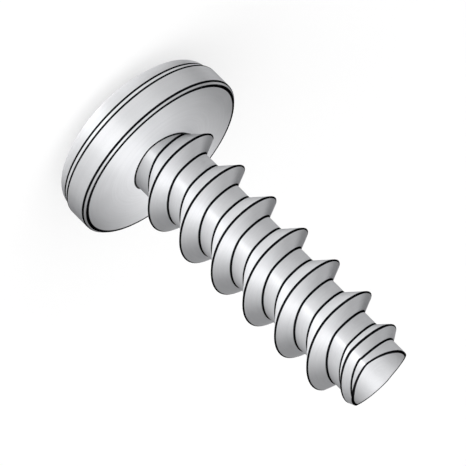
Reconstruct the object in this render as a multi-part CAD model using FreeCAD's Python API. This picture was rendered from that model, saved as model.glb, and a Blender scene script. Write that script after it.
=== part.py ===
import FreeCAD, Part
import math
import os

# A pan head thread rolling screw, made in one piece. The shank has three rounded lobes instead of
# a round section, a sharp coarse thread that starts right under the head, and a flat plain end.
# Sizes are in millimetres and angles in degrees. The origin is the middle of the bearing face
# under the head. +Z runs along the shank to its end, and the head lies below the origin.

# Head
head_radius = 2.64
head_height = 1.74
rim_bevel_in = 0.08
rim_bevel_height = 0.085
side_top = 0.72
top_bevel_in = 0.08
top_bevel_height = 0.15
shoulder_width = 0.36
crown_fall = 0.44
crown_flat_radius = 1.18
clearance_hole_radius = 1.62

# Shank and thread
shank_length = 8.68
root_radius = 0.94
lobe_rise = 0.07
end_lobe_rise = 0.11
lobe_growth_start = 6.4
first_lobe_angle = 90.0
pitch = 1.27
thread_height = 0.475
head_side_run = 0.49
tip_side_run = 0.275
thread_start = 0.50

# Run-in of the thread at the head, and run-out before the end of the shank
runin_start_turn = -0.45
runin_turns = 0.40
runout_start_turn = 5.6
runout_turns = 1.15
runout_height = 0.04
runout_power = 1.1
runout_crest_share = 0.06

# Drive recess in the crown
recess_radius = 1.40
recess_depth = 1.50
wing_width = 0.48
wing_foot_radius = 0.74
wing_foot_depth = 1.15
core_radius = 0.50
core_foot_radius = 0.34

# Points on each turn of the thread, and how far the shank reaches into the head
points_per_turn = 36
head_overlap = 0.20


def point(x, y, z):
    return FreeCAD.Vector(x, y, z)


def lobe_at(z):
    # the lobes stand out more towards the end of the shank
    share = (z - lobe_growth_start) / (shank_length - lobe_growth_start)
    share = min(max(share, 0.0), 1.0)
    return lobe_rise + (end_lobe_rise - lobe_rise) * share ** 2 * (3 - 2 * share)


def lobe_reach(angle, offset, rise):
    # how far the section reaches in the direction of an angle, and how fast that changes
    lobe = 3 * (angle - math.radians(first_lobe_angle))
    reach = root_radius + offset + rise * math.cos(lobe)
    change = -3 * rise * math.sin(lobe)
    return reach, change


def thread_point(angle, offset, z):
    # a point on the helix, the offset outside the three-lobed root
    rise = lobe_at(z + pitch * angle / (2 * math.pi))
    reach, change = lobe_reach(angle, offset, rise)
    x = reach * math.cos(angle) - change * math.sin(angle)
    y = reach * math.sin(angle) + change * math.cos(angle)
    turned = angle + math.atan2(change, reach)
    return point(x, y, z + pitch * turned / (2 * math.pi))


def ridge(angle):
    # the height of the thread, and the length along the shank from its head-side root to its crest
    turns = angle / (2 * math.pi)
    grown = (turns - runin_start_turn) / runin_turns
    left = 1 - (turns - runout_start_turn) / runout_turns
    share = min(max(min(grown, left), 0.0), 1.0) ** runout_power
    height = runout_height + (thread_height - runout_height) * share
    crest_share = runout_crest_share + (1 - runout_crest_share) * height / thread_height
    return height, head_side_run * crest_share


def head_side_root(angle):
    return thread_point(angle, 0, thread_start - head_side_run)


def crest(angle):
    height, run = ridge(angle)
    return thread_point(angle, height, thread_start - head_side_run + run)


def tip_side_root(angle):
    run = ridge(angle)[1]
    return thread_point(angle, 0, thread_start - head_side_run + run + tip_side_run)


def helix_edges(point_at, first, turns):
    # one smooth curve, cut into an edge for each turn
    steps = turns * points_per_turn
    angles = [first + 2 * math.pi * i / points_per_turn for i in range(steps + 1)]
    curve = Part.BSplineCurve()
    curve.interpolate(Points=[point_at(a) for a in angles], Parameters=angles)
    ends = angles[::points_per_turn]
    return [curve.toShape(a, b) for a, b in zip(ends, ends[1:])]


def end_faces(edge, profile):
    # a ramp from the axis to the open edge, and the flat step where the ramp meets itself
    foot = point(0, 0, profile[0].z)
    top = point(0, 0, profile[-1].z)
    ramp = Part.makeRuledSurface(Part.makeLine(foot, top), edge, 1)
    step = Part.Face(Part.makePolygon([foot] + profile + [top, foot]))
    return [ramp, step]


def thread_solid():
    # a turn and a half to spare at each end, both of which are cut off later
    first = math.radians(first_lobe_angle) - 3 * math.pi
    turns = math.ceil(shank_length / pitch) + 3
    last = first + 2 * math.pi * turns
    lower = helix_edges(head_side_root, first, turns)
    crests = helix_edges(crest, first, turns)
    upper = helix_edges(tip_side_root, first, turns)
    faces = [Part.makeRuledSurface(a, b) for a, b in zip(lower, crests)]
    faces += [Part.makeRuledSurface(a, b) for a, b in zip(crests, upper)]
    faces += [Part.makeRuledSurface(a, b) for a, b in zip(upper, lower[1:])]
    turn = 2 * math.pi
    start = [head_side_root(first), crest(first), tip_side_root(first), head_side_root(first + turn)]
    end = [tip_side_root(last - turn), head_side_root(last), crest(last), tip_side_root(last)]
    faces += end_faces(lower[0], start)
    faces += end_faces(upper[-1], end)
    shell = Part.makeShell(faces)
    shell.sewShape()
    solid = Part.makeSolid(shell)
    if solid.Volume < 0:
        solid.reverse()
    return solid


def shank():
    # the threaded length from inside the head to the flat end
    reach = 2 * (root_radius + thread_height)
    length = shank_length + head_overlap
    kept = Part.makeCylinder(reach, length, point(0, 0, -head_overlap))
    return kept.common(thread_solid())


def crown():
    # the flat round the recess, the crown, and the rounded shoulder down to the bevel
    shoulder_start = head_radius - shoulder_width
    rise = (shoulder_start ** 2 + crown_fall ** 2 - crown_flat_radius ** 2) / (2 * crown_fall)
    crown_centre = rise - head_height
    crown_radius = math.hypot(crown_flat_radius, rise)
    middle = (crown_flat_radius + shoulder_start) / 2
    middle_z = crown_centre - math.sqrt(crown_radius ** 2 - middle ** 2)
    pole = point(0, 0, -head_height)
    flat_edge = point(crown_flat_radius, 0, -head_height)
    start = point(shoulder_start, 0, crown_fall - head_height)
    bevel_radius = head_radius - top_bevel_in
    slope = shoulder_start / (rise - crown_fall)
    corner = point(bevel_radius, 0, start.z + slope * (bevel_radius - shoulder_start))
    bevel = point(bevel_radius, 0, -side_top - top_bevel_height)
    shoulder = Part.BezierCurve()
    shoulder.setPoles([start, corner, bevel])
    arc = Part.Arc(flat_edge, point(middle, 0, middle_z), start)
    return [Part.makeLine(pole, flat_edge), arc.toShape(), shoulder.toShape()]


def head():
    # the flat underside is one ring inside the clearance hole of the sheet and one that bears on it
    corners = [
        point(head_radius - top_bevel_in, 0, -side_top - top_bevel_height),
        point(head_radius, 0, -side_top),
        point(head_radius, 0, -rim_bevel_height),
        point(head_radius - rim_bevel_in, 0, 0),
        point(clearance_hole_radius, 0, 0),
        point(0, 0, 0),
        point(0, 0, -head_height),
    ]
    rest = [Part.makeLine(a, b) for a, b in zip(corners, corners[1:])]
    section = Part.Face(Part.Wire(crown() + rest))
    return section.revolve(point(0, 0, 0), point(0, 0, 1), 360)


def wing_pair(turn):
    # two opposite wings, which narrow towards the foot of the recess
    mouth = -head_height - head_overlap
    foot = -head_height + wing_foot_depth
    slope = (recess_radius - wing_foot_radius) / wing_foot_depth
    mouth_radius = recess_radius + slope * head_overlap
    corners = [
        point(-mouth_radius, -wing_width / 2, mouth),
        point(mouth_radius, -wing_width / 2, mouth),
        point(wing_foot_radius, -wing_width / 2, foot),
        point(0, -wing_width / 2, -head_height + recess_depth),
        point(-wing_foot_radius, -wing_width / 2, foot),
        point(-mouth_radius, -wing_width / 2, mouth),
    ]
    wings = Part.Face(Part.makePolygon(corners)).extrude(point(0, wing_width, 0))
    wings.rotate(point(0, 0, 0), point(0, 0, 1), turn)
    return wings


def recess():
    depth = wing_foot_depth + head_overlap
    core = Part.makeCone(core_radius, core_foot_radius, depth, point(0, 0, -head_height - head_overlap))
    return wing_pair(45).fuse([wing_pair(135), core])


def screw():
    return head().fuse(shank()).cut(recess())


os.makedirs("parts", exist_ok=True)
screw().exportStep("parts/screw.step")
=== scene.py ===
import math

import bmesh
import bpy
from mathutils import Matrix, Vector


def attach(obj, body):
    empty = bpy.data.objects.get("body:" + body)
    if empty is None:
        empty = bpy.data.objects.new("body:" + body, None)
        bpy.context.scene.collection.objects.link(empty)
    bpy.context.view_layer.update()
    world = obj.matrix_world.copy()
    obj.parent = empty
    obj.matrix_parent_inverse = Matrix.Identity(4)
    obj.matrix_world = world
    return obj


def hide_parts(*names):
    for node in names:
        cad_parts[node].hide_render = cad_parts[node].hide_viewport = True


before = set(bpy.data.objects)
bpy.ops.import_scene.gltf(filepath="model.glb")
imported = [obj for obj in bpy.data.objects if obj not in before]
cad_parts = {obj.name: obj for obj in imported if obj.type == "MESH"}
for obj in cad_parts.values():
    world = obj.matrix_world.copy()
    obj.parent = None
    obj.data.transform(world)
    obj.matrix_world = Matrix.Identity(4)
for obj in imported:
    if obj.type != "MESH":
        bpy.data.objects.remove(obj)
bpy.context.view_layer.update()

print("frame loaded:", ", ".join(sorted(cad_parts)))

# The screw is built in millimetres with +Z along the shank, and scaled to metres once it is whole.
# Two masks are kept on its points: painted dark lines on outer edges, and painted shade along inner
# corners.

millimetre = 0.001
cutTolerance = 1e-5     # how near to a level a point counts as on it, in millimetres
levelTolerance = 1e-3   # the same, when the points of a level are looked for after the cut
ringShares = (0.33, 0.67, 1.0)      # where the rings of a quarter round lie

cornerShape = {
    "lineFade": 0.010,          # how far a painted dark line takes to fade out
    "longestRounding": 0.4,     # the most that a rounding takes up of the side next to it
    "longestLine": 0.2,         # and of what is left the painted dark line
    "longestFade": 0.35,        # and the line with its fade
}


def mix(a, b, share):
    return a + (b - a) * share


def curvePoint(start, corner, end, t):
    return start * (1 - t) ** 2 + corner * 2 * t * (1 - t) + end * t ** 2


def bent(before, corner, after, cut, steps):
    # points of a small curve in place of a sharp corner
    before, corner, after = Vector(before), Vector(corner), Vector(after)
    limit = cornerShape["longestRounding"]
    reach = min(cut, limit * (before - corner).length, limit * (after - corner).length)
    start = corner + (before - corner).normalized() * reach
    end = corner + (after - corner).normalized() * reach
    return [curvePoint(start, corner, end, i / steps) for i in range(steps + 1)]


def linedCorner(before, corner, after, cut, widths, steps):
    # (place, mask) across a rounded corner and the painted dark line along it, which fades out on
    # both sides
    curve = bent(before, corner, after, cut, steps)
    sides = []
    for far, end, width in ((before, curve[0], widths[0]), (after, curve[-1], widths[1])):
        away = Vector(far) - end
        line = min(width, cornerShape["longestLine"] * away.length)
        past = min(width + cornerShape["lineFade"], cornerShape["longestFade"] * away.length)
        sides.append([(end + away.normalized() * line, 1), (end + away.normalized() * past, 0)])
    return sides[0][::-1] + [(place, 1) for place in curve] + sides[1]


def closed(loop):
    # each item of a loop with the one after it
    return zip(loop, loop[1:] + loop[:1])


class Builder:
    # the mesh under construction, with its two masks of painted dark edge lines and painted corner
    # shade
    def __init__(self):
        self.bm = bmesh.new()
        self.paintedEdgeLineMask = self.bm.verts.layers.float.new("paintedEdgeLineMask")
        self.paintedCornerShadeMask = self.bm.verts.layers.float.new("paintedCornerShadeMask")

    def vert(self, place, edge=0.0, corner=0.0):
        made = self.bm.verts.new(place)
        made[self.paintedEdgeLineMask] = edge
        made[self.paintedCornerShadeMask] = corner
        return made

    def band(self, lower, upper):
        # a closed band of faces between two rings of the same count
        pairs = zip(closed(lower), closed(upper))
        return [self.bm.faces.new((a, b, d, c)) for (a, b), (c, d) in pairs]

    def bands(self, rings, upwards):
        # the bands between rings, which follow each other up or down the axis
        pairs = zip(rings, rings[1:]) if upwards else zip(rings[1:], rings)
        return [self.band(lower, upper) for lower, upper in pairs]

    def fan(self, ring, centre):
        return [self.bm.faces.new((a, b, centre)) for a, b in closed(ring)]


threadShape = {
    "shankLength": 8.68,
    "rootRadius": 0.94,
    "lobes": 3,
    "lobeRise": 0.07,           # how far the lobes stand out along the shank
    "endLobeRise": 0.11,        # and at its end
    "lobeGrowthStart": 6.4,
    "firstLobe": math.radians(90),
    "pitch": 1.27,
    "height": 0.475,
    "headSideRun": 0.49,
    "tipSideRun": 0.275,
    "start": 0.50,
    "runinStart": -0.45,        # in turns
    "runinTurns": 0.40,
    "runoutStart": 5.6,
    "runoutTurns": 1.15,
    "runoutHeight": 0.04,
    "runoutPower": 1.1,
    "runoutCrestShare": 0.06,
    "runoutRoundShare": 0.5,    # how much of each rounding is left where the thread has run out
    "spareTurns": 1.5,          # wound on at both ends and cut off again
    "crestRound": 0.020,
    "crestLift": 0.39,          # share of the rounding that keeps the crest at its full height
    "rootRound": 0.020,
    "endRound": 0.022,
    "headFootLines": (0.027, 0.016),    # how far the painted dark lines reach past the rounding, each side
    "crestLines": (0.034, 0.030),
    "tipFootLines": (0.016, 0.010),
    "shankFootLines": (0.014, 0.028),   # where the painted shade next to the head ends, and its fade
    "endLines": (0.050, 0.062),         # the same on the flat end
    "endSideFade": 0.012,               # and on the shank beside it
    "columns": 120,             # steps in one turn
    "roundSteps": 4,
    "flankShares": (0.33, 0.67),        # rows across a flank
    "rootShares": (0.25, 0.5, 0.75),    # rows across the open root
    "endShares": (0.7, 0.35),           # rings on the flat end
}


def lobeAt(z):
    # the lobes stand out more towards the end of the shank
    start = threadShape["lobeGrowthStart"]
    share = min(max((z - start) / (threadShape["shankLength"] - start), 0.0), 1.0)
    return mix(threadShape["lobeRise"], threadShape["endLobeRise"], share * share * (3 - 2 * share))


def threadPoint(angle, offset, z):
    # a point on the helix, the offset outside the three-lobed root
    pitch, lobes = threadShape["pitch"], threadShape["lobes"]
    rise = lobeAt(z + pitch * angle / math.tau)
    lobe = lobes * (angle - threadShape["firstLobe"])
    reach = threadShape["rootRadius"] + offset + rise * math.cos(lobe)
    change = -lobes * rise * math.sin(lobe)
    x = reach * math.cos(angle) - change * math.sin(angle)
    y = reach * math.sin(angle) + change * math.cos(angle)
    turned = angle + math.atan2(change, reach)
    return Vector((x, y, z + pitch * turned / math.tau))


def plainRows(first, last, shares):
    return [(first.lerp(last, t), 0, 0) for t in shares]


def threadProfile(angle):
    # (place along the shank and height over the root, edge mask, corner mask) across one turn
    shape = threadShape
    turns = angle / math.tau
    grown = (turns - shape["runinStart"]) / shape["runinTurns"]
    left = 1 - (turns - shape["runoutStart"]) / shape["runoutTurns"]
    share = min(max(min(grown, left), 0.0), 1.0) ** shape["runoutPower"]
    height = mix(shape["runoutHeight"], shape["height"], share)
    run = shape["headSideRun"] * mix(shape["runoutCrestShare"], 1.0, height / shape["height"])
    roundShare = mix(shape["runoutRoundShare"], 1.0, share)
    crestRound = shape["crestRound"] * roundShare
    rootRound = shape["rootRound"] * roundShare
    foot, back = (0, 0), (run + shape["tipSideRun"], 0)
    crest = (run, height + shape["crestLift"] * crestRound)
    landStart, landEnd = (back[0] - shape["pitch"], 0), (shape["pitch"], 0)
    steps = shape["roundSteps"]
    headFoot = linedCorner(landStart, foot, crest, rootRound, shape["headFootLines"], steps)
    top = linedCorner(foot, crest, back, crestRound, shape["crestLines"], steps)
    tipFoot = linedCorner(crest, back, landEnd, rootRound, shape["tipFootLines"], steps)
    rows = [(place, 0, mask) for place, mask in headFoot]
    rows += plainRows(headFoot[-1][0], top[0][0], shape["flankShares"])
    rows += [(place, mask, 0) for place, mask in top]
    rows += plainRows(top[-1][0], tipFoot[0][0], shape["flankShares"])
    rows += [(place, 0, mask) for place, mask in tipFoot]
    nextFoot = headFoot[0][0] + Vector((shape["pitch"], 0))
    rows += plainRows(tipFoot[-1][0], nextFoot, shape["rootShares"])
    return rows


def addThread(builder):
    # one strip, a pitch wide, that winds round the shank
    shape = threadShape
    columns, spare = shape["columns"], shape["spareTurns"]
    turns = math.ceil(shape["shankLength"] / shape["pitch"] + 2 * spare)
    first = shape["firstLobe"] - spare * math.tau
    base = shape["start"] - shape["headSideRun"]
    grid = []
    for i in range(turns * columns + 1):
        angle = first + math.tau * i / columns
        line = []
        for place, edge, corner in threadProfile(angle):
            line.append(builder.vert(threadPoint(angle, place.y, base + place.x), edge, corner))
        grid.append(line)
    for here, there in zip(grid, grid[1:]):
        for a, b, c, d in zip(here, there, there[1:], here[1:]):
            builder.bm.faces.new((a, b, c, d))
    # the strip's last row joins its first row a turn later
    for a, b, c, d in zip(grid, grid[1:], grid[columns + 1:], grid[columns:]):
        builder.bm.faces.new((a[-1], b[-1], c[0], d[0]))


def cutLevel(builder, z, dropAbove=False, dropBelow=False):
    # a row of points at a level, with nothing left on a side that is dropped
    geometry = builder.bm.verts[:] + builder.bm.edges[:] + builder.bm.faces[:]
    bmesh.ops.bisect_plane(
        builder.bm, geom=geometry, dist=cutTolerance, plane_co=(0, 0, z), plane_no=(0, 0, 1),
        clear_outer=dropAbove, clear_inner=dropBelow,
    )


def openLoop(builder, z):
    # the points of the open edge at a level, in order round the axis
    follow = {}
    for edge in builder.bm.edges:
        if edge.is_boundary and all(abs(v.co.z - z) < levelTolerance for v in edge.verts):
            a, b = edge.verts
            follow.setdefault(a, []).append(b)
            follow.setdefault(b, []).append(a)
    first = max(follow, key=lambda v: v.co.x)
    loop, before = [first], None
    while len(loop) < len(follow):
        here = loop[-1]
        loop.append(next(v for v in follow[here] if v is not before and v is not first))
        before = here
    area = sum(a.co.x * b.co.y - b.co.x * a.co.y for a, b in closed(loop))
    return loop if area > 0 else loop[::-1]


def trimThread(builder):
    # cuts the strip level at the head and at the end, with a row where each painted dark line fades
    line, fade = threadShape["shankFootLines"]
    cutLevel(builder, 0, dropBelow=True)
    cutLevel(builder, line)
    cutLevel(builder, fade)
    # painted shade in the corner where the shank meets the head
    for vert in builder.bm.verts:
        if vert.co.z < line + levelTolerance:
            vert[builder.paintedCornerShadeMask] = 1.0
    endEdge = threadShape["shankLength"] - threadShape["endRound"]
    cutLevel(builder, endEdge, dropAbove=True)
    cutLevel(builder, endEdge - threadShape["endSideFade"])
    return openLoop(builder, 0), openLoop(builder, endEdge)


def addEnd(builder, loop):
    # the round at the rim of the end, painted dark along its rim, then the flat end itself
    top, cut = threadShape["shankLength"], threadShape["endRound"]
    line, fade = threadShape["endLines"]
    rings = [loop]
    for share, past, edge in [(s, 0, 1) for s in ringShares] + [(1, line, 1), (1, fade, 0)]:
        swing = share * math.pi / 2
        inset, rise = cut * (1 - math.cos(swing)) + past, cut * math.sin(swing)
        ring = []
        for vert in loop:
            outward = Vector((vert.co.x, vert.co.y, 0)).normalized()
            ring.append(builder.vert(vert.co - outward * inset + Vector((0, 0, rise)), edge))
        rings.append(ring)
    for vert in loop:
        vert[builder.paintedEdgeLineMask] = 1.0
    flatEdge = rings[-1]
    for share in threadShape["endShares"]:
        rings.append([builder.vert((v.co.x * share, v.co.y * share, top)) for v in flatEdge])
    flatBands = builder.bands(rings, upwards=True)[len(ringShares):]
    return sum(flatBands, []) + builder.fan(rings[-1], builder.vert((0, 0, top)))


headShape = {
    "radius": 2.64,
    "height": 1.74,
    "rimBevelIn": 0.08,
    "rimBevelHeight": 0.085,
    "sideTop": 0.72,
    "topBevelIn": 0.08,
    "topBevelHeight": 0.15,
    "shoulderWidth": 0.36,
    "crownFall": 0.44,
    "crownFlatRadius": 1.18,
    "innerRing": 1.62,          # the underside is a plain fill inside this radius
    "edgeRound": 0.018,
    "flatRound": 0.05,          # half the width of the band across the edge of the crown's flat
    "rimLines": (0.045, 0.002),         # how far the painted dark lines reach past the rounding, at the rim
    "sideLines": (0.011, 0.011),        # and at the edges of the side
    "footLines": (0.040, 0.055),        # where the painted shade round the shank ends, and its fade
    "roundSteps": 3,
    "sideShares": (0.3, 0.6),           # rows between two corners
    "shoulderSteps": 8,
    "crownSteps": 9,
}


def crownArc():
    # where the arc of the crown starts, the height of its middle, and its radius
    start = headShape["radius"] - headShape["shoulderWidth"]
    fall, flat = headShape["crownFall"], headShape["crownFlatRadius"]
    rise = (start ** 2 + fall ** 2 - flat ** 2) / (2 * fall)
    return start, rise - headShape["height"], math.hypot(flat, rise)


def crownHeight(radius):
    middle, arc = crownArc()[1:]
    if radius <= headShape["crownFlatRadius"]:
        return -headShape["height"]
    return middle - math.sqrt(arc ** 2 - radius ** 2)


def headProfile():
    # (radius and height, edge mask) from the underside, round the rim and down the crown
    shape = headShape
    radius = shape["radius"]
    inner = Vector((shape["innerRing"], 0))
    rimIn = Vector((radius - shape["rimBevelIn"], 0))
    rimOut = Vector((radius, -shape["rimBevelHeight"]))
    sideEnd = Vector((radius, -shape["sideTop"]))
    bevelEnd = Vector((radius - shape["topBevelIn"], -shape["sideTop"] - shape["topBevelHeight"]))
    start, middle = crownArc()[:2]
    arcStart = Vector((start, crownHeight(start)))
    slope = start / (middle - arcStart.y)
    corner = Vector((bevelEnd.x, arcStart.y + slope * (bevelEnd.x - start)))
    turns = [inner, rimIn, rimOut, sideEnd, bevelEnd, corner]
    rows = [(inner, 0)]
    for before, place, after in zip(turns, turns[1:], turns[2:]):
        rows += [(before.lerp(place, t), 0) for t in shape["sideShares"]]
        widths = shape["rimLines"] if before is inner else shape["sideLines"]
        rows += linedCorner(before, place, after, shape["edgeRound"], widths, shape["roundSteps"])
    # the rounding of the last corner takes the place of the shoulder's first step
    steps = shape["shoulderSteps"]
    rows += [(curvePoint(bevelEnd, corner, arcStart, i / steps), 0) for i in range(2, steps + 1)]
    for i in range(1, shape["crownSteps"] + 1):
        r = mix(start, recessShape["lipRadius"], i / shape["crownSteps"])
        rows.append((Vector((r, crownHeight(r))), 0))
    return rows


recessShape = {
    "radius": 1.40,
    "depth": 1.50,
    "wingTurns": (45, 135, 225, 315),   # where the wings point, in degrees
    "wingWidth": 0.48,
    "footRadius": 0.74,
    "footDepth": 1.15,
    "coreRadius": 0.50,
    "coreFootRadius": 0.34,
    "lipRadius": 1.55,          # the ring of the crown round the recess
    "lipRound": 0.03,
    "cornerRound": 0.06,
    "footCornerShare": 0.7,     # how much of that rounding is left at the foot
    "cornerSteps": 4,
    "wingEndShares": (0, 0.3, 0.55),    # points across half the end of a wing
    "sideSteps": 7,
    "coreSteps": 5,
    "wallRows": 6,
    "footRows": 5,
    "lipShares": (0.2, 0.4, 0.6, 0.75, 0.9, 1),     # rows on the crown outside the lip
    "flatShares": (0.35, 0.7, 1),                   # rows on the flat, where the lip lies in it
}


def recessOutline(depth):
    # the cross seen along the axis at a depth, as a list of points in order round the axis
    shape = recessShape
    share = min(depth / shape["footDepth"], 1.0)
    half = shape["wingWidth"] / 2
    length = mix(shape["radius"], shape["footRadius"], share)
    core = mix(shape["coreRadius"], shape["coreFootRadius"], share)
    cut = shape["cornerRound"] * mix(1.0, shape["footCornerShare"], share)
    wing = [Vector((length, half * t)) for t in shape["wingEndShares"]]
    wing += bent((length, 0), (length, half), (0, half), cut, shape["cornerSteps"])
    farAngle = math.atan2(half, length - cut)
    nearAngle = math.asin(half / core)
    for i in range(1, shape["sideSteps"]):
        angle = mix(farAngle, nearAngle, i / shape["sideSteps"])
        wing.append(Vector((half / math.tan(angle), half)))
    for i in range(shape["coreSteps"] + 1):
        angle = mix(nearAngle, math.pi / 4, i / shape["coreSteps"])
        wing.append(Vector((core * math.cos(angle), core * math.sin(angle))))
    quarter = wing + [Vector((p.y, p.x)) for p in reversed(wing[1:-1])]
    points = []
    for turn in shape["wingTurns"]:
        spin = Matrix.Rotation(math.radians(turn), 2)
        points += [spin @ p for p in quarter]
    return points


def moved(outline, distance):
    # the outline moved outwards by a distance
    result = []
    for before, place, after in zip([outline[-1]] + outline, outline, outline[1:] + outline[:1]):
        along = (after - before).normalized()
        result.append(place + Vector((along.y, -along.x)) * distance)
    return result


def lipRows(mouth):
    # rows of points on the crown, from its last ring in to the lip of the recess
    outer, shares = recessShape["lipRadius"], recessShape["lipShares"]
    flat, soft = headShape["crownFlatRadius"], headShape["flatRound"]
    rows = [[] for share in shares]
    for column, place in zip(mouth, moved(mouth, recessShape["lipRound"])):
        end = place.length
        radii = [mix(outer, end, t) for t in shares]
        if end < flat - 2 * soft:
            radii = [mix(outer, flat, 0.5), flat + soft, flat - soft]
            radii += [mix(flat, end, t) for t in recessShape["flatShares"]]
        for row, radius in zip(rows, radii):
            turned = column.normalized().lerp(place.normalized(), (outer - radius) / (outer - end))
            spot = turned.normalized() * radius
            row.append((spot.x, spot.y, crownHeight(radius)))
    return rows


def addHead(builder):
    mouth = recessOutline(0)
    angles = [math.atan2(p.y, p.x) for p in mouth]
    rings = []
    for place, edge in headProfile():
        ring = [(place.x * math.cos(a), place.x * math.sin(a), place.y) for a in angles]
        rings.append([builder.vert(spot, edge) for spot in ring])
    rings += [[builder.vert(spot) for spot in row] for row in lipRows(mouth)]
    return rings[0], rings[-1], sum(builder.bands(rings, upwards=False), [])


def addRecess(builder, lip):
    shape = recessShape
    top, cut = -headShape["height"], shape["lipRound"]
    rings = [lip]
    # the rounding of the lip carries a painted dark line
    for share in ringShares:
        swing = share * math.pi / 2
        ring = []
        for place in moved(recessOutline(0), cut * (1 - math.sin(swing))):
            height = crownHeight(place.length) + cut * (1 - math.cos(swing))
            ring.append(builder.vert((place.x, place.y, height), edge=1.0))
        rings.append(ring)
    for row in range(1, shape["wallRows"] + 1):
        depth = shape["footDepth"] * row / shape["wallRows"]
        # the last wall row carries painted shade in the corner at the foot
        corner = 1.0 if row == shape["wallRows"] else 0.0
        outline = recessOutline(depth)
        rings.append([builder.vert((p.x, p.y, top + depth), corner=corner) for p in outline])
    for row in range(1, shape["footRows"]):
        share = 1 - row / shape["footRows"]
        z = top + mix(shape["depth"], shape["footDepth"], share)
        rings.append([builder.vert((p.x * share, p.y * share, z)) for p in outline])
    walls = sum(builder.bands(rings, upwards=False), [])
    tip = builder.vert((0, 0, top + shape["depth"]))
    return walls + builder.fan(rings[-1][::-1], tip)


def addUnderside(builder, foot, ring):
    # the flat underside, from two narrow bands round the foot of the shank, where painted corner
    # shade fades out, out to the ring
    faces, inside = [], foot
    for width, corner in zip(headShape["footLines"], (1, 0)):
        outline = moved([v.co.xy for v in foot], width)
        around = [builder.vert((p.x, p.y, 0), corner=corner) for p in outline]
        faces += builder.band(around, inside)
        inside = around
    edges = [builder.bm.edges.get(pair) for loop in (inside, ring) for pair in closed(loop)]
    fill = bmesh.ops.triangle_fill(builder.bm, edges=edges, use_beauty=True, normal=(0, 0, 1))
    return faces + [f for f in fill["geom"] if isinstance(f, bmesh.types.BMFace)]


smoothing = {
    "sharpAngle": math.radians(50),
    "weight": 80,               # over 50, large faces decide the shading of small ones beside them
}


def buildScrew():
    builder = Builder()
    addThread(builder)
    foot, endLoop = trimThread(builder)
    endFaces = addEnd(builder, endLoop)
    ring, lip, headFaces = addHead(builder)
    recessFaces = addRecess(builder, lip)
    underFaces = addUnderside(builder, foot, ring)
    underFaces += [f for f in headFaces if all(abs(v.co.z) < cutTolerance for v in f.verts)]
    for face in builder.bm.faces:
        face.smooth = True
    steels = list(steelLook)
    for name, faces in (("headSteel", headFaces), ("recessSteel", recessFaces),
                        ("endSteel", endFaces), ("undersideSteel", underFaces)):
        for face in faces:
            face.material_index = steels.index(name)
    bmesh.ops.recalc_face_normals(builder.bm, faces=builder.bm.faces[:])
    builder.bm.transform(Matrix.Scale(millimetre, 4))
    print("screw built,", sum(e.is_boundary for e in builder.bm.edges), "open edges")
    mesh = bpy.data.meshes.new("threadRollingScrew")
    builder.bm.to_mesh(mesh)
    builder.bm.free()
    mesh.set_sharp_from_angle(angle=smoothing["sharpAngle"])
    screw = bpy.data.objects.new("threadRollingScrew", mesh)
    bpy.context.scene.collection.objects.link(screw)
    even = screw.modifiers.new("evenNormals", "WEIGHTED_NORMAL")
    even.keep_sharp = True
    even.weight = smoothing["weight"]
    return screw


def addNode(tree, kind, inputs=None, **settings):
    # makes a node, sets it up, and links or fills its inputs
    node = tree.nodes.new("ShaderNode" + kind)
    for name, value in settings.items():
        setattr(node, name, value)
    for key, value in (inputs or {}).items():
        if isinstance(value, bpy.types.NodeSocket):
            tree.links.new(value, node.inputs[key])
        else:
            node.inputs[key].default_value = value
    return node


def calculate(tree, operation, *values):
    return addNode(tree, "Math", dict(enumerate(values)), operation=operation).outputs[0]


def scaled(tree, vector, amount):
    return addNode(tree, "VectorMath", {0: vector, "Scale": amount}, operation="SCALE").outputs[0]


def newGroup(name, inputs, outputs):
    # inputs and outputs are (name, kind, value) and (name, kind)
    group = bpy.data.node_groups.new(name, "ShaderNodeTree")
    for label, kind, value in inputs:
        socket = group.interface.new_socket(label, in_out="INPUT", socket_type="NodeSocket" + kind)
        socket.default_value = value
    for label, kind in outputs:
        group.interface.new_socket(label, in_out="OUTPUT", socket_type="NodeSocket" + kind)
    entry = group.nodes.new("NodeGroupInput")
    leave = group.nodes.new("NodeGroupOutput")
    return group, entry.outputs, leave.inputs


def placeInMillimetres(tree):
    return scaled(tree, addNode(tree, "TexCoord").outputs["Object"], 1 / millimetre)


def splitPlace(tree):
    # x, y and z in millimetres, and the distance from the axis
    x, y, z = addNode(tree, "SeparateXYZ", {0: placeInMillimetres(tree)}).outputs
    squares = [calculate(tree, "POWER", part, 2.0) for part in (x, y)]
    return x, y, z, calculate(tree, "SQRT", calculate(tree, "ADD", *squares))


def toneAround(tree, swing, contrast):
    # a tone around 1 from a swing around 0
    return calculate(tree, "ADD", calculate(tree, "MULTIPLY", swing, contrast), 1.0)


def markNoise(group, entry, leave, vector, along):
    # noise drawn out along the tool marks, put out as a tone and as a height
    noise = addNode(group, "TexNoise", {
        "Vector": vector, "W": along, "Scale": 1.0, "Detail": 3.0, "Roughness": 0.6,
    }, noise_dimensions="4D").outputs["Fac"]
    swing = calculate(group, "SUBTRACT", noise, 0.5)
    group.links.new(toneAround(group, swing, entry["Contrast"]), leave["Tone"])
    group.links.new(noise, leave["Height"])


def turnedMarksGroup():
    # fine rings round the axis, as the tool leaves them on a head and an end
    group, entry, leave = newGroup(
        "turnedMarks",
        [("Rings", "Float", 14.0), ("Wobble", "Float", 0.6), ("Contrast", "Float", 0.13)],
        [("Tone", "Float"), ("Height", "Float")],
    )
    x, y, z, radius = splitPlace(group)
    flat = addNode(group, "CombineXYZ", {0: x, 1: y}).outputs[0]
    outward = addNode(group, "VectorMath", {0: flat}, operation="NORMALIZE").outputs[0]
    across = calculate(group, "MULTIPLY", calculate(group, "ADD", radius, z), entry["Rings"])
    markNoise(group, entry, leave, scaled(group, outward, entry["Wobble"]), across)
    return group


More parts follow.
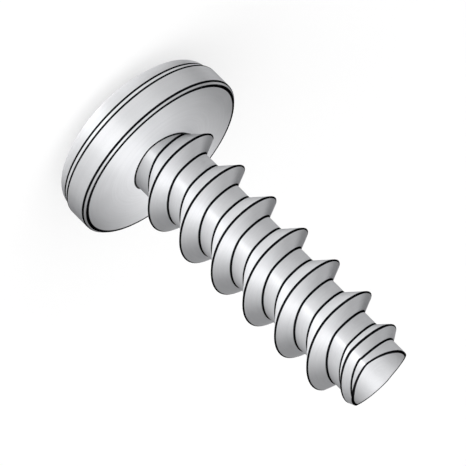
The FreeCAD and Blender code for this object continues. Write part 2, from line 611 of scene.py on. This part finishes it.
def rolledGrainGroup():
    # long streaks that follow the thread, as the rolling dies leave them
    group, entry, leave = newGroup(
        "rolledGrain",
        [("Pitch", "Float", 1.27), ("Streaks", "Float", 5.0), ("Layers", "Float", 4.0),
         ("Contrast", "Float", 0.13)],
        [("Tone", "Float"), ("Height", "Float")],
    )
    x, y, z, radius = splitPlace(group)
    turn = calculate(group, "ARCTAN2", y, x)
    climb = calculate(group, "MULTIPLY", calculate(group, "DIVIDE", z, entry["Pitch"]), math.tau)
    phase = calculate(group, "SUBTRACT", climb, turn)
    streaks = entry["Streaks"]
    layers = calculate(group, "MULTIPLY", streaks, entry["Layers"])
    across = addNode(group, "CombineXYZ", {
        0: calculate(group, "MULTIPLY", calculate(group, "COSINE", phase), streaks),
        1: calculate(group, "MULTIPLY", calculate(group, "SINE", phase), streaks),
        2: calculate(group, "MULTIPLY", radius, layers),
    }).outputs[0]
    markNoise(group, entry, leave, across, z)
    return group


def satinGroup():
    # soft clouds and a fine speckle in the tone and the roughness of bright steel
    group, entry, leave = newGroup(
        "satinSurface",
        [("Clouds", "Float", 1.4), ("Speckle", "Float", 32.0), ("Contrast", "Float", 0.08),
         ("Roughness", "Float", 0.5), ("Roughness Change", "Float", 0.08)],
        [("Tone", "Float"), ("Roughness", "Float")],
    )
    place = placeInMillimetres(group)
    clouds = addNode(group, "TexNoise", {"Vector": place, "Scale": entry["Clouds"], "Detail": 4.0})
    speckle = addNode(
        group, "TexNoise", {"Vector": place, "Scale": entry["Speckle"], "Detail": 2.0})
    both = calculate(group, "ADD", clouds.outputs["Fac"], speckle.outputs["Fac"])
    swing = calculate(group, "SUBTRACT", both, 1.0)   # each of the two lies around 0.5
    change = calculate(group, "MULTIPLY", swing, entry["Roughness Change"])
    group.links.new(toneAround(group, swing, entry["Contrast"]), leave["Tone"])
    group.links.new(calculate(group, "ADD", entry["Roughness"], change), leave["Roughness"])
    return group


mixSockets = {"FLOAT": (2, 3, 0), "RGBA": (6, 7, 2)}    # a Mix node's two inputs and its output


def blended(tree, kind, share, a, b):
    first, second, out = mixSockets[kind]
    return addNode(tree, "Mix", {0: share, first: a, second: b}, data_type=kind).outputs[out]


def paintedLinesGroup():
    # painted dark lines along outer edges, and painted shade in inner corners
    group, entry, leave = newGroup(
        "paintedEdgeLineAndCornerShade",
        # Line Color is the colour of the painted dark lines and the painted corner shade
        [("Color", "Color", (1, 1, 1, 1)), ("Line Color", "Color", (0.012, 0.012, 0.014, 1)),
         ("Edges", "Float", 0.8), ("Corners", "Float", 0.8)],
        [("Color", "Color")],
    )
    edge = addNode(group, "Attribute", attribute_name="paintedEdgeLineMask").outputs["Fac"]
    corner = addNode(group, "Attribute", attribute_name="paintedCornerShadeMask").outputs["Fac"]
    mask = calculate(
        group, "MAXIMUM",
        calculate(group, "MULTIPLY", edge, entry["Edges"]),
        calculate(group, "MULTIPLY", corner, entry["Corners"]),
    )
    colour = blended(group, "RGBA", mask, entry["Color"], entry["Line Color"])
    group.links.new(colour, leave["Color"])
    return group


plainSteel = {
    "colour": (0.78, 0.785, 0.80),
    "grazingTint": (0.08, 0.08, 0.085, 1.0),    # what is left of the shine at a grazing angle
    "roughness": 0.63,
    "grain": 1.0,               # how far the shine is drawn out across the tool marks
    "grainTurn": 0.25,          # a quarter turn, from along the marks to across them
    "marks": "turnedMarks",
    "relief": 0.9e-6,           # height of the marks, in metres
    "edges": 1.0,               # how dark the painted lines are on edges
    "corners": 1.0,             # and the painted shade in corners
}

steelLook = {
    "threadSteel": {**plainSteel, "roughness": 0.62, "grain": 0.88, "marks": "rolledGrain"},
    "headSteel": {**plainSteel, "roughness": 0.56},
    "recessSteel": {**plainSteel, "colour": (0.64, 0.645, 0.66), "roughness": 0.50,
                    "grain": 0.88, "relief": 1.2e-6, "corners": 0.9},
    "endSteel": {**plainSteel, "arcRadius": 1.0},
    "undersideSteel": {**plainSteel, "arcRadius": 2.75},
}
steepestArc = 0.98      # sine of the angle at which the arcs of the marks stop turning


def markDirection(tree, look):
    # the way the tool marks run: round the axis, or in arcs side by side where a cutter went across
    if "arcRadius" not in look:
        return addNode(tree, "Tangent", direction_type="RADIAL", axis="Z").outputs[0]
    place = addNode(tree, "SeparateXYZ", {0: placeInMillimetres(tree)}).outputs
    share = addNode(tree, "Clamp", {
        "Value": calculate(tree, "DIVIDE", place["X"], look["arcRadius"]),
        "Min": -steepestArc, "Max": steepestArc,
    }).outputs[0]
    square = calculate(tree, "POWER", share, 2.0)
    arc = addNode(tree, "CombineXYZ", {
        "X": calculate(tree, "SQRT", calculate(tree, "SUBTRACT", 1.0, square)),
        "Y": calculate(tree, "MULTIPLY", share, -1.0),
    }).outputs[0]
    return addNode(tree, "VectorTransform", {0: arc}, vector_type="VECTOR",
                   convert_from="OBJECT", convert_to="WORLD").outputs[0]


def steelMaterial(name, look, groups):
    material = bpy.data.materials.new(name)
    material.use_nodes = True
    tree = material.node_tree
    shader = tree.nodes["Principled BSDF"]
    satin = addNode(
        tree, "Group", {"Roughness": look["roughness"]}, node_tree=groups["satinSurface"])
    marks = addNode(tree, "Group", node_tree=groups[look["marks"]])
    tone = calculate(tree, "MULTIPLY", satin.outputs["Tone"], marks.outputs["Tone"])
    line = addNode(tree, "Group", {
        "Color": scaled(tree, look["colour"], tone),
        "Edges": look["edges"], "Corners": look["corners"],
    }, node_tree=groups["paintedEdgeLineAndCornerShade"])
    bump = addNode(tree, "Bump", {
        "Height": marks.outputs["Height"], "Strength": 1.0, "Distance": look["relief"],
    })
    tree.links.new(line.outputs["Color"], shader.inputs["Base Color"])
    tree.links.new(satin.outputs["Roughness"], shader.inputs["Roughness"])
    tree.links.new(bump.outputs["Normal"], shader.inputs["Normal"])
    tree.links.new(markDirection(tree, look), shader.inputs["Tangent"])
    shader.inputs["Metallic"].default_value = 1.0
    shader.inputs["Specular Tint"].default_value = look["grazingTint"]
    shader.inputs["Anisotropic"].default_value = look["grain"]
    shader.inputs["Anisotropic Rotation"].default_value = look["grainTurn"]
    return material


def finishScrew(screw):
    made = (turnedMarksGroup(), rolledGrainGroup(), satinGroup(), paintedLinesGroup())
    groups = {group.name: group for group in made}
    for name, look in steelLook.items():
        screw.data.materials.append(steelMaterial(name, look, groups))
    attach(screw, "root")
    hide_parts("screw")
    print("steel made:", ", ".join(steelLook))


studio = {
    "floorSize": 0.6,
    "floorColour": (0.42, 0.42, 0.42, 1.0),
    "floorLift": 0.57,          # what camera, glossy and transmission rays see on top
    "roomLevel": 0.52,
    "lampAim": (0, 0, 0.003),
    "lampDistance": 0.09,
}

glows = {
    # soft bright fields of the room: direction, cosine at which each one ends, and strength
    "frontGlow": {"azimuth": 100, "elevation": 20, "edge": 0.30, "strength": 1.5},
    "leftGlow": {"azimuth": 165, "elevation": 0, "edge": 0.60, "strength": 1.2},
    "rightGlow": {"azimuth": 30, "elevation": 15, "edge": 0.65, "strength": 0.7},
    "rearGlow": {"azimuth": 305, "elevation": 10, "edge": 0.90, "strength": 0.9},
}

lamps = {
    "keyLamp": {"azimuth": 113, "elevation": 15, "size": (0.060, 0.050), "power": 0.020},
}


def buildFloor():
    mesh = bpy.data.meshes.new("floor")
    half = studio["floorSize"] / 2
    z = -headShape["height"] * millimetre
    corners = [(-half, -half, z), (half, -half, z), (half, half, z), (-half, half, z)]
    mesh.from_pydata(corners, [], [(0, 1, 2, 3)])
    floor = bpy.data.objects.new("floor", mesh)
    bpy.context.scene.collection.objects.link(floor)
    material = bpy.data.materials.new("floorPaper")
    material.use_nodes = True
    tree = material.node_tree
    tree.nodes.remove(tree.nodes["Principled BSDF"])
    rays = addNode(tree, "LightPath").outputs
    shiny = calculate(tree, "MAXIMUM", rays["Is Glossy Ray"], rays["Is Transmission Ray"])
    seen = calculate(tree, "MAXIMUM", rays["Is Camera Ray"], shiny)
    paper = addNode(tree, "BsdfDiffuse", {"Color": studio["floorColour"]})
    glow = addNode(tree, "Emission", {
        "Strength": calculate(tree, "MULTIPLY", seen, studio["floorLift"]),
    })
    both = addNode(tree, "AddShader", {0: paper.outputs[0], 1: glow.outputs[0]})
    tree.links.new(both.outputs[0], tree.nodes["Material Output"].inputs["Surface"])
    mesh.materials.append(material)


def direction(azimuth, elevation):
    a, e = math.radians(azimuth), math.radians(elevation)
    return Vector((math.cos(a) * math.cos(e), math.sin(a) * math.cos(e), math.sin(e)))


def buildWorld():
    # a plain room with soft bright fields, and white for the camera
    world = bpy.data.worlds.new("studio")
    bpy.context.scene.world = world
    world.use_nodes = True
    tree = world.node_tree
    place = addNode(tree, "TexCoord").outputs["Generated"]
    room = studio["roomLevel"]
    for glow in glows.values():
        out = direction(glow["azimuth"], glow["elevation"])
        facing = addNode(tree, "VectorMath", {0: place, 1: out}, operation="DOT_PRODUCT")
        field = addNode(tree, "MapRange", {
            "Value": facing.outputs["Value"], "From Min": glow["edge"], "From Max": 1.0,
            "To Min": 0.0, "To Max": glow["strength"],
        }, interpolation_type="SMOOTHSTEP").outputs[0]
        room = calculate(tree, "ADD", room, field)
    camera = addNode(tree, "LightPath").outputs["Is Camera Ray"]
    background = tree.nodes["Background"]
    background.inputs["Color"].default_value = (1, 1, 1, 1)
    tree.links.new(blended(tree, "FLOAT", camera, room, 1.0), background.inputs["Strength"])


def buildLamps():
    for name, values in lamps.items():
        light = bpy.data.lights.new(name, "AREA")
        light.shape = "RECTANGLE"
        light.size, light.size_y = values["size"]
        light.energy = values["power"]
        lamp = bpy.data.objects.new(name, light)
        out = direction(values["azimuth"], values["elevation"])
        lamp.location = Vector(studio["lampAim"]) + out * studio["lampDistance"]
        lamp.rotation_euler = out.to_track_quat("Z", "Y").to_euler()
        bpy.context.scene.collection.objects.link(lamp)


cameraPlace = {
    "tilt": math.radians(22.5),         # above the floor
    "target": (-0.0334, 0.0, 2.956),    # what the middle of the picture shows, in millimetres
    "frameWidth": 12.26,
    "lens": 1200.0,
    "sensor": 36.0,
    "clip": (0.01, 3.0),                # in metres
}


def buildCamera():
    # the camera is rolled so that the shank points down to the right
    data = bpy.data.cameras.new("camera")
    camera = bpy.data.objects.new("camera", data)
    bpy.context.scene.collection.objects.link(camera)
    bpy.context.scene.camera = camera
    data.lens, data.sensor_width = cameraPlace["lens"], cameraPlace["sensor"]
    data.clip_start, data.clip_end = cameraPlace["clip"]
    tilt = cameraPlace["tilt"]
    back = Vector((0, math.cos(tilt), math.sin(tilt)))
    along = Vector((0, -math.sin(tilt), math.cos(tilt)))
    across = Vector((1, 0, 0))
    distance = cameraPlace["frameWidth"] * data.lens / data.sensor_width
    place = (Vector(cameraPlace["target"]) + back * distance) * millimetre
    axes = Matrix(((across + along).normalized(), (across - along).normalized(), back))
    camera.matrix_world = Matrix.Translation(place) @ axes.transposed().to_4x4()


screw = buildScrew()
finishScrew(screw)
buildFloor()
buildWorld()
buildLamps()
buildCamera()
bpy.context.scene.view_settings.view_transform = "Standard"
print("studio built")
